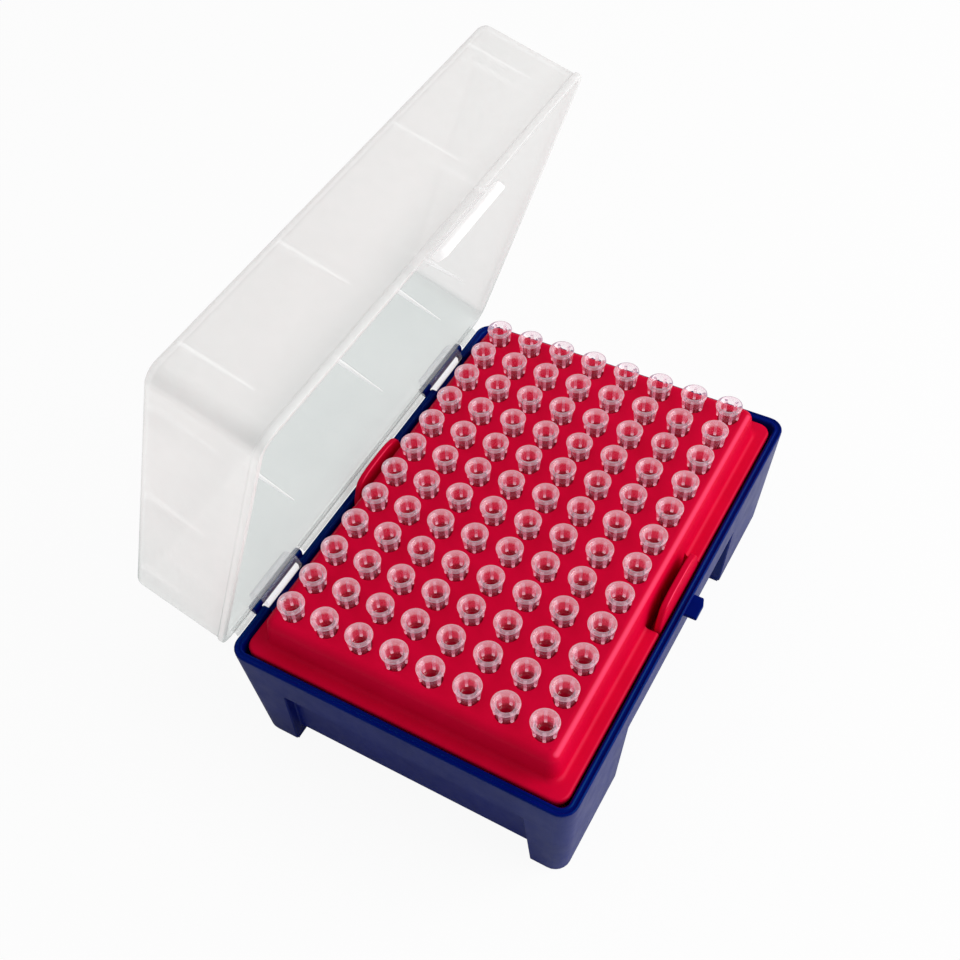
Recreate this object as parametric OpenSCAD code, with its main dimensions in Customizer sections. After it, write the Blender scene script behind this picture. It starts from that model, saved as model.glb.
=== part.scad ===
// Pipette tip box: a deep base with a lift-out tray, ribbed tips and a clear lid.
// The lid is clipped on two pins along the back of the base and stands open.
// Origin: on the ground, below the middle of the overall size with the lid open.
// X runs along the box, the latch faces -Y, the hinge is on the +Y side and Z is
// up. Every module works from the middle of the base. Millimetres.

/* [View] */
// Which node to draw

/* [Base] */
// Length of the rim along X
base_l = 123.7; // [120:0.1:130]
// Width of the rim along Y
base_w = 87.0; // [86:0.1:92]
// Height of the rim above the ground
base_h = 33.0; // [31:0.5:45]
// How far the front and end walls lean in between the rim and the ground
base_lean = 1.85; // [1:0.05:3]
// How far the hinge side's wall leans in
back_lean = 3.2; // [1:0.05:4]
// Plan radius of the rim's corners
rim_r = 4.0; // [3:0.1:6]
// Plan radius of the corners at the ground
foot_r = 3.8; // [2:0.1:5]
// Wall thickness at the rim
rim_t = 2.1; // [1.6:0.1:2.4]
// Wall thickness of the panels between the feet
panel_t = 1.8; // [1.2:0.1:2.4]
// Height where the band under the rim ends and the panels begin
band_z = 22.8; // [20:0.2:24]
// How far the panels stand in from the band
panel_in = 2.3; // [1:0.1:3]
// Height of the panels' lower edge
panel_z = 4.3; // [3:0.1:8]
// Half of the gap between the feet along X
foot_x = 31.7; // [26:0.1:36]
// Half of the gap between the feet along Y
foot_y = 31.8; // [27:0.1:33]
// How far the gap along Y lies nearer to the latch than to the hinge
foot_shift = 1.4; // [0:0.1:2]
// How much narrower each panel is at its top than at the ground
gap_narrows = 1.1; // [0:0.1:2]
// Floor thickness
floor_t = 1.5; // [1:0.1:2.5]

/* [Catch] */
// Width of the catch block at the front
catch_w = 6.2; // [5:0.1:8]
// How far the catch stands out from the rim's edge
catch_out = 2.8; // [2:0.1:3.2]
// How far the top of the catch lies below the rim
catch_down = 1.4; // [1:0.1:3]
// Height of the catch
catch_h = 1.0; // [0.8:0.1:3]

/* [Hinge] */
// Distance of each hinge station from the middle
hinge_x = 39.7; // [34:0.1:42]
// Distance of the hinge axis from the middle of the box
pin_y = 44.7; // [44.5:0.1:45.5]
// Height of the hinge axis above the rim
pin_up = 0.3; // [0:0.1:1]
// Radius of the hinge pins
pin_r = 1.15; // [0.9:0.05:1.3]
// Radial clearance of the clips on the pins
pin_gap = 0.07; // [0.02:0.01:0.1]
// Length of the gap between the ears of one station
ear_gap = 14.55; // [14.3:0.05:15.5]
// Thickness of each ear
ear_t = 2.6; // [2:0.1:3]
// Length of each clip
clip_l = 13.8; // [12:0.1:14]
// Outer radius of the clips
clip_r = 2.8; // [2.4:0.05:2.9]
// Width of the slot by which a clip snaps over its pin
snap_w = 1.9; // [1.6:0.1:2.1]
// Angle below the outside at which that slot points
snap_deg = 35; // [20:5:50]
// Angle by which the lid stands open
open_deg = 70.8; // [20:0.2:100]

/* [Lid] */
// Height of the lid above the rim when it is shut
lid_h = 25.3; // [20:0.1:35]
// Wall thickness of the lid
lid_t = 1.2; // [1:0.1:1.6]
// How far the lid's long walls lean in towards the top
lid_lean = 0.65; // [0.2:0.05:1.5]
// How far its end walls lean in
lid_end_lean = 0.1; // [0.1:0.05:1.5]
// Radius of the edge round the lid's top
lid_edge_r = 2.3; // [1.5:0.1:3]
// Plan radius of the lid's corners
lid_r = 4.4; // [3.5:0.1:6]
// Height of the thicker band along the lid's rim
lip_h = 1.5; // [1:0.1:2.5]
// How far that band stands out from the walls
lip_out = 0.4; // [0.2:0.1:0.8]
// Places of the ribs inside the end walls, from the middle
end_ribs = [-31.4, 0.9, 33.2]; // [-38:0.1:38]
// Places of the ribs inside the long walls, from the middle
long_ribs = [-52, -21, 21, 52]; // [-55:0.5:55]
// Thickness of a rib
rib_t = 0.8; // [0.6:0.1:1.2]
// How far a rib stands out from its wall where it meets the lid's top
rib_out = 1.4; // [0.8:0.1:2]
// Distance of a rib's lower end from the rim
rib_low = 8.2; // [5:0.1:12]
// Width of the latch tongue
latch_w = 29; // [20:1:34]
// How far the tongue reaches past the base's rim
latch_out = 8; // [5:0.2:10]

/* [Tray] */
// Height of the deck above the rim of the base
deck_up = 7.9; // [6.5:0.1:9]
// Length of the raised deck
deck_l = 110.4; // [109:0.2:112]
// Width of the raised deck
deck_w = 74.0; // [73:0.2:75]
// Radius of the edge round the deck
deck_edge_r = 2.2; // [1:0.1:3]
// Thickness of the deck and its sides
deck_t = 1.6; // [1.2:0.1:2]
// Length of the flange round the deck
flange_l = 118.2; // [117:0.2:118.4]
// Width of the flange round the deck
flange_w = 81.6; // [81:0.2:81.6]
// How far the flange's top face lies below the rim of the base
flange_down = 0.2; // [0.1:0.1:1]
// Thickness of the flange
flange_t = 1.5; // [1.2:0.1:2]
// Diameter of the holes for the tips
hole_d = 5.0; // [4.9:0.1:5.4]
// Width of each finger tab
tab_w = 21.8; // [18:0.2:24]
// Height of the tabs above the flange
tab_h = 6.9; // [5:0.1:8]
// Thickness of each tab
tab_t = 1.6; // [1.2:0.1:2]

/* [Tips] */
// Distance from one tip to the next
pitch = 9; // [9:9]
// Rows across the width
rows = 8; // [8:8]
// Columns along the length
cols = 12; // [12:12]
// Length of a tip
tip_l = 37.8; // [35:0.2:38]
// Height of a tip's ring above the deck
tip_up = 4.4; // [3.5:0.1:5]
// Outer diameter of the ring
ring_d = 6.3; // [6:0.1:6.8]
// Inner diameter of the mouth below its flare
mouth_d = 3.6; // [3.4:0.1:4]
// Outer diameter of the neck
neck_d = 4.6; // [4.4:0.1:4.8]

/* [Hidden] */
// Height of the hinge pins' axis above the ground
pin_z = base_h + pin_up;
// Heights of the deck, the flange and the catch above the ground
deck_z = base_h + deck_up;
flange_z = base_h - flange_down;
catch_top = base_h - catch_down;
// Thickness below which two faces count as one, used to overrun cuts
over = 0.02;
// Height of the ledge that the tray's skirt stands on
ledge_z = band_z + floor_t;
// Top of the base's floor between the feet
floor_z = panel_z + floor_t;
// Depth of the notch round each clip
notch_r = clip_r + 0.35;
// Room between the lid's rim and the base's rim when the lid is shut
shut_gap = 0.2;
lid_z = base_h + shut_gap;
// Outer half sizes of the lid's walls at its rim
lid_x = base_l / 2;
lid_y = base_w / 2 - 0.1;
// Middle of the overall depth, lid open, measured from the middle of the base
mid_y = 10.44;
// How far the stem of a finger tab stands in from the flange's edge
tab_in = 0.6;
// Depth below the flange of the web that carries a finger tab
web_down = 7.8;
// Facets round each corner of a hulled shell
shell_fn = 32;
round_fn = 48;

// Moves a node from the middle of the base to the origin
module placed() {
    translate([0, -mid_y, 0]) children();
}

// One rounded rectangle, thin enough to be a slice of a hull
module slice(l, w, r, z) {
    for (sx = [-1, 1], sy = [-1, 1])
        translate([sx * (l / 2 - r), sy * (w / 2 - r), z])
            cylinder(r = r, h = 0.01, $fn = shell_fn);
}

// Upright block with rounded corners
module slab(l, w, r, z0, z1) {
    translate([0, 0, z0]) {
        translate([-l / 2, r - w / 2, 0]) cube([l, w - 2 * r, z1 - z0]);
        translate([r - l / 2, -w / 2, 0]) cube([l - 2 * r, w, z1 - z0]);
        for (sx = [-1, 1], sy = [-1, 1])
            translate([sx * (l / 2 - r), sy * (w / 2 - r), 0])
                cylinder(r = r, h = z1 - z0, $fn = round_fn);
    }
}

// How far the base's wall has leant in at height z
function lean(z) = base_lean * (base_h - z) / base_h;

// Cuts one recessed panel along the side that faces -Y; half_w is the side's half width
// and leans is how far that side leans in
module panel_cut(half_w, gap, leans) {
    face0 = half_w - leans - panel_in;
    face1 = half_w - leans * (base_h - band_z) / base_h - panel_in;
    intersection() {
        rotate([90, 0, 0])
            linear_extrude(height = half_w + 10)
                polygon([[-gap, -1], [gap, -1], [gap - gap_narrows, band_z], [gap_narrows - gap, band_z]]);
        rotate([90, 0, 90])
            translate([0, 0, -gap - 1])
                linear_extrude(height = 2 * gap + 2)
                    polygon([[-half_w - 5, -1], [-face0, -1], [-face1, band_z], [-half_w - 5, band_z]]);
    }
}

// Hollow of the base, above the floor and inside the walls
module base_hollow() {
    slab(base_l - 2 * rim_t, base_w - 2 * rim_t, rim_r - rim_t, base_h - 1.7, base_h + 1);
    slab(
        base_l - 2 * (rim_t + lean(ledge_z)), base_w - 2 * (rim_t + lean(ledge_z)),
        rim_r - rim_t, ledge_z, base_h - 1.6
    );
    inner_x = base_l / 2 - base_lean - panel_in - panel_t;
    inner_y = base_w / 2 - base_lean - panel_in - panel_t;
    back_in = back_lean - base_lean;
    translate([0, -back_in / 2, 0]) slab(2 * inner_x, 2 * inner_y - back_in, 2, floor_z, ledge_z + over);
    // The feet are hollow from above
    foot_l = base_l / 2 - base_lean - rim_t;
    foot_w = base_w / 2 - base_lean - rim_t;
    start_x = foot_x + panel_t;
    for (turn_x = [0, 1], turn_y = [0, 1]) {
        start_y = foot_y + panel_t + (2 * turn_y - 1) * foot_shift;
        mirror([turn_x, 0, 0])
            mirror([0, turn_y, 0])
                translate([start_x, start_y, floor_t])
                    cube([
                        foot_l - start_x, foot_w - start_y - (1 - turn_y) * back_in,
                        ledge_z - floor_t + over
                    ]);
    }
}

// Body of the base: one leaning box with a softened top edge
module base_body() {
    hull() {
        translate([0, (base_lean - back_lean) / 2, 0])
            slice(base_l - 2 * base_lean, base_w - base_lean - back_lean, foot_r, 0);
        slice(base_l - 0.2, base_w - 0.2, rim_r, base_h - 0.6);
        slice(base_l - 0.9, base_w - 0.9, rim_r - 0.4, base_h - 0.01);
    }
}

// One hinge station: two ears with a pin between them
module hinge_station() {
    root_y = base_w / 2 - 1.5;
    low_z = base_h - 4;
    for (s = [-1, 1])
        translate([s * (ear_gap + ear_t) / 2, 0, 0]) {
            translate([-ear_t / 2, pin_y, pin_z])
                rotate([0, 90, 0])
                    cylinder(r = pin_r + 0.1, h = ear_t, $fn = round_fn);
            rotate([90, 0, 90])
                translate([0, 0, -ear_t / 2])
                    linear_extrude(height = ear_t)
                        polygon([
                            [root_y, low_z], [root_y + 1.2, low_z], [base_w / 2 + 0.2, base_h - 1.4],
                            [pin_y + pin_r, pin_z - 0.3], [pin_y + pin_r, pin_z], [pin_y - pin_r, pin_z],
                            [pin_y - pin_r, base_h - 0.3], [root_y, base_h - 0.3]
                        ]);
        }
    translate([-ear_gap / 2 - ear_t, pin_y, pin_z])
        rotate([0, 90, 0])
            cylinder(r = pin_r, h = ear_gap + 2 * ear_t, $fn = round_fn);
}

// The base with its four feet, catch, ears and pins: one moulding
module base() {
    placed() color([0.02, 0.06, 0.42]) {
        difference() {
            base_body();
            base_hollow();
            panel_cut(base_w / 2, foot_x, base_lean);
            rotate([0, 0, 180]) panel_cut(base_w / 2, foot_x, back_lean);
            for (turn = [90, -90])
                translate([0, -foot_shift, 0])
                    rotate([0, 0, turn]) panel_cut(base_l / 2, foot_y, base_lean);
            // Gaps under the floor, from foot to foot
            translate([-foot_x, -base_w / 2, -1]) cube([2 * foot_x, base_w, panel_z + 1]);
            translate([-base_l / 2, -foot_y - foot_shift, -1]) cube([base_l, 2 * foot_y, panel_z + 1]);
            // Notches in the rim that the clips turn in
            for (s = [-1, 1])
                translate([s * hinge_x - ear_gap / 2, base_w / 2 - rim_t - over, pin_z - notch_r])
                    cube([ear_gap, 8, 8]);
        }
        for (s = [-1, 1])
            translate([s * hinge_x, 0, 0]) hinge_station();
        catch_block();
    }
}

// Block on the front that the latch tongue drops over, one corner cut off in plan
module catch_block() {
    root_y = base_w / 2 - 1.2;
    tip_y = base_w / 2 + catch_out;
    half = catch_w / 2;
    translate([0, 0, catch_top - catch_h])
        linear_extrude(height = catch_h)
            polygon([
                [-half, -root_y], [-half, -tip_y], [half - 2.1, -tip_y], [half, -tip_y + 0.7], [half, -root_y]
            ]);
}

// Outside or inside of the lid's shell, shut; inset is measured from the outer face
module lid_shell(inset, z0) {
    top = lid_z + lid_h - inset;
    r = lid_edge_r - inset / 2;
    l = 2 * (lid_x - inset);
    w = 2 * (lid_y - inset);
    cr = lid_r - inset;
    top_l = l - 2 * lid_end_lean;
    top_w = w - 2 * lid_lean;
    hull() {
        slice(l, w, cr, z0);
        slice(top_l, top_w, cr, top - r);
        for (a = [30, 60, 90])
            slice(
                top_l - 2 * r * (1 - cos(a)), top_w - 2 * r * (1 - cos(a)),
                cr, top - r * (1 - sin(a)) - 0.01
            );
    }
}

// Stiffening rib inside a wall of the lid; face is the wall's inner distance at the
// rim and leans is how far that wall leans in up to the lid's top
module lid_rib(face, leans) {
    low = rib_low;
    high = lid_h - lid_t / 2 - 0.1;
    face0 = face - leans * low / lid_h;
    face1 = face - leans * high / lid_h;
    rotate([90, 0, 90])
        translate([0, 0, -rib_t / 2])
            linear_extrude(height = rib_t)
                polygon([
                    [face0 + 0.4, lid_z + low], [face0 - 0.15, lid_z + low],
                    [face1 - rib_out, lid_z + high], [face1 + 0.4, lid_z + high]
                ]);
}

// Latch tongue on the front of the lid: a wide lip with a window for the catch
module latch() {
    root = lid_y - 0.3;
    tip = base_w / 2 + latch_out;
    difference() {
        intersection() {
            rotate([90, 0, 90])
                translate([0, 0, -latch_w / 2])
                    linear_extrude(height = latch_w)
                        polygon([
                            [-root, lid_z + 2.4], [-root, lid_z + 0.6], [-root - 1.4, lid_z + 0.3],
                            [-tip + 0.6, lid_z - 4.9], [-tip, lid_z - 3.4], [-root - 1.6, lid_z + 1.7]
                        ]);
            translate([0, -lid_y - 1, 0]) slab(latch_w, 2 * (tip - lid_y - 1), 3.8, lid_z - 6, lid_z + 4);
        }
        // Window for the catch
        translate([-catch_w / 2 - 1.5, -lid_y - 4.6, lid_z - 6]) cube([catch_w + 3, 2.7, 12]);
    }
}

// The clips' outer rounds
module clip_rounds() {
    for (s = [-1, 1])
        translate([s * hinge_x - clip_l / 2, pin_y, pin_z])
            rotate([0, 90, 0])
                cylinder(r = clip_r, h = clip_l, $fn = round_fn);
}

// The bores of the clips and the slots that let them snap over the pins
module clip_bores() {
    for (s = [-1, 1])
        translate([s * hinge_x - clip_l / 2 - 1, pin_y, pin_z])
            rotate([0, 90, 0]) {
                cylinder(r = pin_r + pin_gap, h = clip_l + 2, $fn = round_fn);
                rotate([0, 0, -snap_deg])
                    translate([0, -snap_w / 2, -1]) cube([clip_r + 1, snap_w, clip_l + 4]);
            }
}

// The lid as it sits when it is shut
module lid_shut() {
    wall_in = lid_y - lid_t;
    band_gap = ear_gap / 2 + ear_t + 0.5;
    difference() {
        union() {
            lid_shell(0, lid_z);
            slab(2 * (lid_x + lip_out), 2 * (lid_y + lip_out), lid_r + lip_out, lid_z, lid_z + lip_h);
            latch();
        }
        lid_shell(lid_t, lid_z - 1);
        // The band stops short of the ears
        for (s = [-1, 1])
            translate([s * hinge_x - band_gap, lid_y, lid_z - 1]) cube([2 * band_gap, 4, lip_h + 1.5]);
        clip_bores();
    }
    difference() {
        clip_rounds();
        clip_bores();
        translate([-base_l / 2, wall_in - 4, pin_z - 4]) cube([base_l, 4, 8]);
    }
    for (side = [0, 1], y = end_ribs)
        mirror([side, 0, 0])
            translate([0, y, 0])
                rotate([0, 0, -90]) lid_rib(lid_x - lid_t, lid_end_lean);
    for (side = [0, 1], x = long_ribs)
        mirror([0, side, 0])
            translate([x, 0, 0]) lid_rib(wall_in, lid_lean);
}

// The lid, standing open
module lid() {
    placed() color([0.92, 0.93, 0.93, 0.45])
        translate([0, pin_y, pin_z])
            rotate([-open_deg, 0, 0])
                translate([0, -pin_y, -pin_z])
                    lid_shut();
}

// Arched finger tab with its spring web, on the side that faces -Y
module finger_tab() {
    outer = flange_w / 2;
    h = tab_w / 2;
    z = flange_z;
    // Half of the arch, from its foot to its crown; across and up, as shares of the tab
    arch = [
        [1, 0], [0.96, 0.22], [0.84, 0.68], [0.79, 0.78], [0.72, 0.86], [0.59, 0.92], [0.4, 1]
    ];
    translate([0, tab_t - outer, 0])
        rotate([90, 0, 0])
            linear_extrude(height = tab_t)
                polygon(concat(
                    [[-h, z - 1], [h, z - 1]],
                    [for (p = arch) [p[0] * h, z + p[1] * tab_h]],
                    [for (k = [len(arch) - 1 : -1 : 0]) [-arch[k][0] * h, z + arch[k][1] * tab_h]]
                ));
    // Its stem stands further in, clear of the base's wall
    translate([-h, tab_in - outer, z - web_down]) cube([tab_w, tab_t, web_down]);
    translate([-h, tab_in - outer, z - web_down]) cube([tab_w, 4, tab_t]);
}

// The lift-out tray: raised deck, flange, skirt and two finger tabs
module tray() {
    skirt_l = base_l - 2 * rim_t - 2 * lean(ledge_z) - 1.2;
    skirt_w = base_w - 2 * rim_t - 2 * lean(ledge_z) - 1.2;
    placed() color([0.84, 0.04, 0.2]) {
        difference() {
            union() {
                slab(flange_l, flange_w, 2.8, flange_z - flange_t, flange_z);
                slab(deck_l, deck_w, 2.6, flange_z - 1, deck_z - deck_edge_r);
                hull() {
                    slice(deck_l, deck_w, 2.6, deck_z - deck_edge_r - 0.01);
                    for (a = [30, 60, 90])
                        slice(
                            deck_l - 2 * deck_edge_r * (1 - cos(a)), deck_w - 2 * deck_edge_r * (1 - cos(a)),
                            2.6, deck_z - deck_edge_r * (1 - sin(a)) - 0.01
                        );
                }
                difference() {
                    slab(skirt_l, skirt_w, 2, ledge_z, flange_z - 0.5);
                    slab(skirt_l - 2.8, skirt_w - 2.8, 1.2, ledge_z - 1, flange_z - flange_t);
                }
            }
            slab(deck_l - 2 * deck_t, deck_w - 2 * deck_t, 1.2, flange_z - 9, deck_z - deck_t);
            for (c = [0 : cols - 1], r = [0 : rows - 1])
                translate([(c - (cols - 1) / 2) * pitch, (r - (rows - 1) / 2) * pitch, deck_z - 4])
                    cylinder(d = hole_d, h = 8, $fn = round_fn);
            // Slots behind the finger tabs
            for (side = [0, 1])
                mirror([0, side, 0])
                    translate([-tab_w / 2 - 0.5, deck_w / 2 + 0.3, flange_z - 8.5])
                        cube([tab_w + 1, 8, 12]);
        }
        finger_tab();
        rotate([0, 0, 180]) finger_tab();
        // Webs that carry the tabs on the deck's sides
        for (side = [0, 1])
            mirror([0, side, 0])
                translate([-tab_w / 2, deck_w / 2 - deck_t, flange_z - web_down])
                    cube([tab_w, 2, web_down + 0.4]);
    }
}

// One tip, its ribs standing on the deck; turn is where the ribs begin
module tip(turn) {
    z = deck_z;
    bore = mouth_d / 2;
    neck = neck_d / 2;
    rotate_extrude($fn = round_fn)
        polygon([
            [0.25, z + tip_up - tip_l], [0.45, z + tip_up - tip_l], [1.5, z - 14],
            [2.1, z - 2], [neck, z - 0.6], [neck, z + tip_up - 1.2],
            [ring_d / 2 - 0.1, z + tip_up - 0.8], [ring_d / 2, z + tip_up - 0.15],
            [ring_d / 2 - 0.15, z + tip_up], [ring_d / 2 - 0.75, z + tip_up],
            [bore, z + tip_up - 0.9], [bore, z + 0.2], [1.3, z - 0.6], [1.1, z - 13]
        ]);
    for (k = [0 : 5])
        rotate([90, 0, turn + 60 * k])
            translate([0, 0, -0.3])
                linear_extrude(height = 0.6)
                    polygon([
                        [neck - 0.15, z], [2.45, z], [2.68, z + 0.3],
                        [ring_d / 2 - 0.2, z + tip_up - 0.5], [neck - 0.15, z + tip_up - 0.5]
                    ]);
}

// One column of tips across the tray
module tips(c) {
    placed() color([0.93, 0.95, 0.96, 0.4])
        for (r = [0 : rows - 1])
            translate([(c - (cols + 1) / 2) * pitch, (r - (rows - 1) / 2) * pitch, 0])
                tip((r * 37 + c * 23) % 60);
}

base();
tray();
lid();
tips(1);  // tips_1
tips(2);  // tips_2
tips(3);  // tips_3
tips(4);  // tips_4
tips(5);  // tips_5
tips(6);  // tips_6
tips(7);  // tips_7
tips(8);  // tips_8
tips(9);  // tips_9
tips(10);  // tips_10
tips(11);  // tips_11
tips(12);  // tips_12
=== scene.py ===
import math

import bmesh
import bpy
import numpy as np
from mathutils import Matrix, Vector


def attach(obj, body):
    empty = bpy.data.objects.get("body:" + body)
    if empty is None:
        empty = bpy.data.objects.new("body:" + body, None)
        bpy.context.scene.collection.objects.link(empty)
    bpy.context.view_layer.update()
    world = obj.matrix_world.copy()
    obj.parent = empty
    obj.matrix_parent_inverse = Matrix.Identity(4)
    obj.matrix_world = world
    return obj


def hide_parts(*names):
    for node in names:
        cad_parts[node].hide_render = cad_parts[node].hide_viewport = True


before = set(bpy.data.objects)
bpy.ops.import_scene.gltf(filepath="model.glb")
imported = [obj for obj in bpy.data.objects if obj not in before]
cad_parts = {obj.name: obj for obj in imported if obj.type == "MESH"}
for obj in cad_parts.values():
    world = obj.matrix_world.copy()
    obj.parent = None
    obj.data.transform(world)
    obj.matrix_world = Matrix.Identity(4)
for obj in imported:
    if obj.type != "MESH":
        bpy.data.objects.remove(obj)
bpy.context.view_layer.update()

# Lengths below are in millimetres, from the middle of the base, on the ground.
MM = 0.001
MIDDLE_Y = -10.44  # where the middle of the base lies in the row frame

# Base
RIM_X, RIM_Y, RIM_Z = 61.85, 43.5, 33.0
RIM_R, FOOT_R = 4.2, 3.8
LEAN, BACK_LEAN = 1.85, 3.2
BAND_Z, PANEL_Z, PANEL_IN = 22.8, 4.3, 2.3
GAP_X, GAP_Y, GAP_SHIFT = 31.7, 31.8, -1.4
GAP_NARROWS = 1.1
UNDER_X, UNDER_FRONT, UNDER_BACK = 56.0, -37.5, 36.2

# Hinge
HINGE_X = 39.7
PIN_Y, PIN_Z, PIN_R = 44.7, 33.3, 1.15
EAR_GAP, EAR_T = 14.55, 2.6
CLIP_L, CLIP_R = 13.8, 2.8
OPEN_ANGLE = math.radians(70.8)
NOTCH_Y, NOTCH_Z = 41.38, 30.15

# Tray
DECK_X, DECK_Y, DECK_Z = 55.2, 37.0, 40.9
DECK_EDGE = 2.2
FLAT_X, FLAT_Y = 52.7, 34.4
WALL_X, WALL_Y, WALL_R = DECK_X + 0.1, DECK_Y + 0.2, 2.8
FLANGE_X, FLANGE_Y, FLANGE_Z = 59.1, 40.8, 32.8
FLANGE_R, FLANGE_T, FLANGE_EDGE, FILLET = 3.4, 1.5, 0.8, 1.3
SKIRT_X, SKIRT_Y, SKIRT_Z, SKIRT_R = 58.5, 40.1, 24.6, 2.4
SLOT_X, SLOT_DEEP = 11.4, 7.0
HOLE_R = 2.5
PITCH = 9.0
COLUMNS, ROWS = 12, 8
TAB_HALF, TAB_T = 10.9, 1.6

# Lid, shut
LID_X, LID_Y, LID_Z = 61.85, 43.4, 33.2
LID_H, LID_T = 25.3, 1.2
LID_LEAN, LID_END_LEAN, LID_R, LID_EDGE = 0.65, 0.1, 4.4, 2.3
BAND_H, BAND_OUT = 1.5, 0.4
STATION = 10.4  # half the width of the hinge stations, where the band stops short


def to_row(points):
    """Millimetres from the middle of the base to metres in the row frame."""
    out = np.array(points, float).reshape(-1, 3)
    return (out + [0, MIDDLE_Y, 0]) * MM


def opened(points):
    """Points of the shut lid, turned about the hinge pins to where it stands."""
    p = np.array(points, float).reshape(-1, 3)
    y, z = p[:, 1] - PIN_Y, p[:, 2] - PIN_Z
    c, s = math.cos(-OPEN_ANGLE), math.sin(-OPEN_ANGLE)
    return np.c_[p[:, 0], PIN_Y + y * c - z * s, PIN_Z + y * s + z * c]


class Build:
    """Vertices and faces of one piece, gathered in millimetres."""

    def __init__(self):
        self.points, self.faces = [], []
        self.second = set()  # faces that take the second material

    def add(self, points):
        start = len(self.points)
        self.points += [tuple(map(float, p)) for p in points]
        return list(range(start, len(self.points)))

    def face(self, *corners):
        self.faces.append(tuple(corners))

    def strip(self, a, b, closed=True, keep=lambda i: True):
        """Joins two rows of vertices of the same length by quads."""
        n = len(a)
        for i in range(n if closed else n - 1):
            j = (i + 1) % n
            if keep(i):
                self.faces.append((a[i], a[j], b[j], b[i]))

    def rows(self, rows, closed=True, keep=lambda i: True):
        made = [self.add(r) for r in rows]
        for a, b in zip(made, made[1:]):
            self.strip(a, b, closed, keep)
        return made

    def grow(self, other, move=lambda p: p, second=False):
        """Takes in the faces of another build. With second, all of them take the second material."""
        start, first = len(self.points), len(self.faces)
        marked = range(len(other.faces)) if second else other.second
        self.second |= {first + i for i in marked}
        self.points += [tuple(map(float, p)) for p in move(np.array(other.points))]
        self.faces += [tuple(start + v for v in f) for f in other.faces]

    def object(self, name, material, body, slot, nodes=(), move=lambda p: p, smooth=30, other=None):
        """Makes the Blender object. nodes are the solids that it replaces, other is its second material."""
        mesh = bpy.data.meshes.new(name)
        mesh.from_pydata(to_row(move(np.array(self.points))).tolist(), [], self.faces)
        mesh.materials.append(material)
        if other:
            mesh.materials.append(other)
            marks = [int(i in self.second) for i in range(len(self.faces))]
            mesh.polygons.foreach_set("material_index", marks)
        mesh.validate()
        obj = bpy.data.objects.new(name, mesh)
        bpy.context.scene.collection.objects.link(obj)
        merge_and_smooth(obj, smooth)
        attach(obj, body)
        if nodes:
            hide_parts(*nodes)
        return obj


def merge_and_smooth(obj, angle):
    """Merges doubles, turns the faces outwards and smooths all but sharp edges."""
    bm = bmesh.new()
    bm.from_mesh(obj.data)
    bmesh.ops.remove_doubles(bm, verts=bm.verts, dist=0.004 * MM)
    bmesh.ops.recalc_face_normals(bm, faces=bm.faces)
    limit = math.radians(angle)
    for f in bm.faces:
        f.smooth = True
    for e in bm.edges:
        e.smooth = not (e.is_manifold and e.calc_face_angle(0) > limit)
    bm.to_mesh(obj.data)
    bm.free()


def bevel(obj, width, segments=3, angle=30):
    """Rounds an object's edges sharper than angle; width is in millimetres."""
    mod = obj.modifiers.new("edge", "BEVEL")
    mod.width = width * MM
    mod.segments = segments
    mod.limit_method = "ANGLE"
    mod.angle_limit = math.radians(angle)
    mod.harden_normals = True
    return obj


def on_circle(cx, cy, radius, angle):
    """The point of a circle at an angle in radians."""
    return cx + radius * math.cos(angle), cy + radius * math.sin(angle)


def quarter(radius, steps=6):
    """A quarter round, as how far it lies in from its first side and then from its other side."""
    angles = [math.pi / 2 * k / steps for k in range(steps + 1)]
    return [(radius * (1 - math.cos(a)), radius * (1 - math.sin(a))) for a in angles]


def outline(half_x, half_y, radius, z, xs=(), ys=(), steps=6):
    """A rounded rectangle at height z, counter-clockwise from the +X side.
    It has extra points on its sides at xs and ys."""
    def arc(cx, cy, start):
        angles = [start + math.pi / 2 * k / steps for k in range(steps + 1)]
        return [(*on_circle(cx, cy, radius, a), z) for a in angles]

    ix, iy = half_x - radius, half_y - radius
    xs, ys = sorted(xs), sorted(ys)
    out = [(half_x, y, z) for y in ys]
    out += arc(ix, iy, 0)
    out += [(x, half_y, z) for x in reversed(xs)]
    out += arc(-ix, iy, math.pi / 2)
    out += [(-half_x, y, z) for y in reversed(ys)]
    out += arc(-ix, -iy, math.pi)
    out += [(x, -half_y, z) for x in xs]
    out += arc(ix, -iy, 3 * math.pi / 2)
    return out


def prism(profile, x0, x1):
    """A block with the YZ outline profile, from x0 to x1."""
    b = Build()
    a = b.add([(x0, y, z) for y, z in profile])
    c = b.add([(x1, y, z) for y, z in profile])
    b.face(*reversed(a))
    b.face(*c)
    b.strip(a, c)
    return b


def tube(y, z, radius, x0, x1, sides=32):
    """A cylinder along X."""
    ring = [on_circle(y, z, radius, 2 * math.pi * k / sides) for k in range(sides)]
    return prism(ring, x0, x1)


# ---------------------------------------------------------------- materials

def new_material(name):
    mat = bpy.data.materials.new(name)
    mat.use_nodes = True
    tree = mat.node_tree
    tree.nodes.clear()
    return mat, tree


def node(tree, kind, **settings):
    """A new shader node, with its settings such as operation."""
    n = tree.nodes.new(kind)
    for key, value in settings.items():
        setattr(n, key, value)
    return n


def link(tree, a, out, b, into):
    """Joins output out of node a to input into of node b."""
    tree.links.new(a.outputs[out], b.inputs[into])


def grain(tree, scale, detail=3.0, rough=0.55):
    """Fine noise in the piece's own space; scale is in cells per metre."""
    coords = node(tree, "ShaderNodeTexCoord")
    noise = node(tree, "ShaderNodeTexNoise")
    noise.inputs["Scale"].default_value = scale
    noise.inputs["Detail"].default_value = detail
    noise.inputs["Roughness"].default_value = rough
    link(tree, coords, "Object", noise, "Vector")
    return noise


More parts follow.
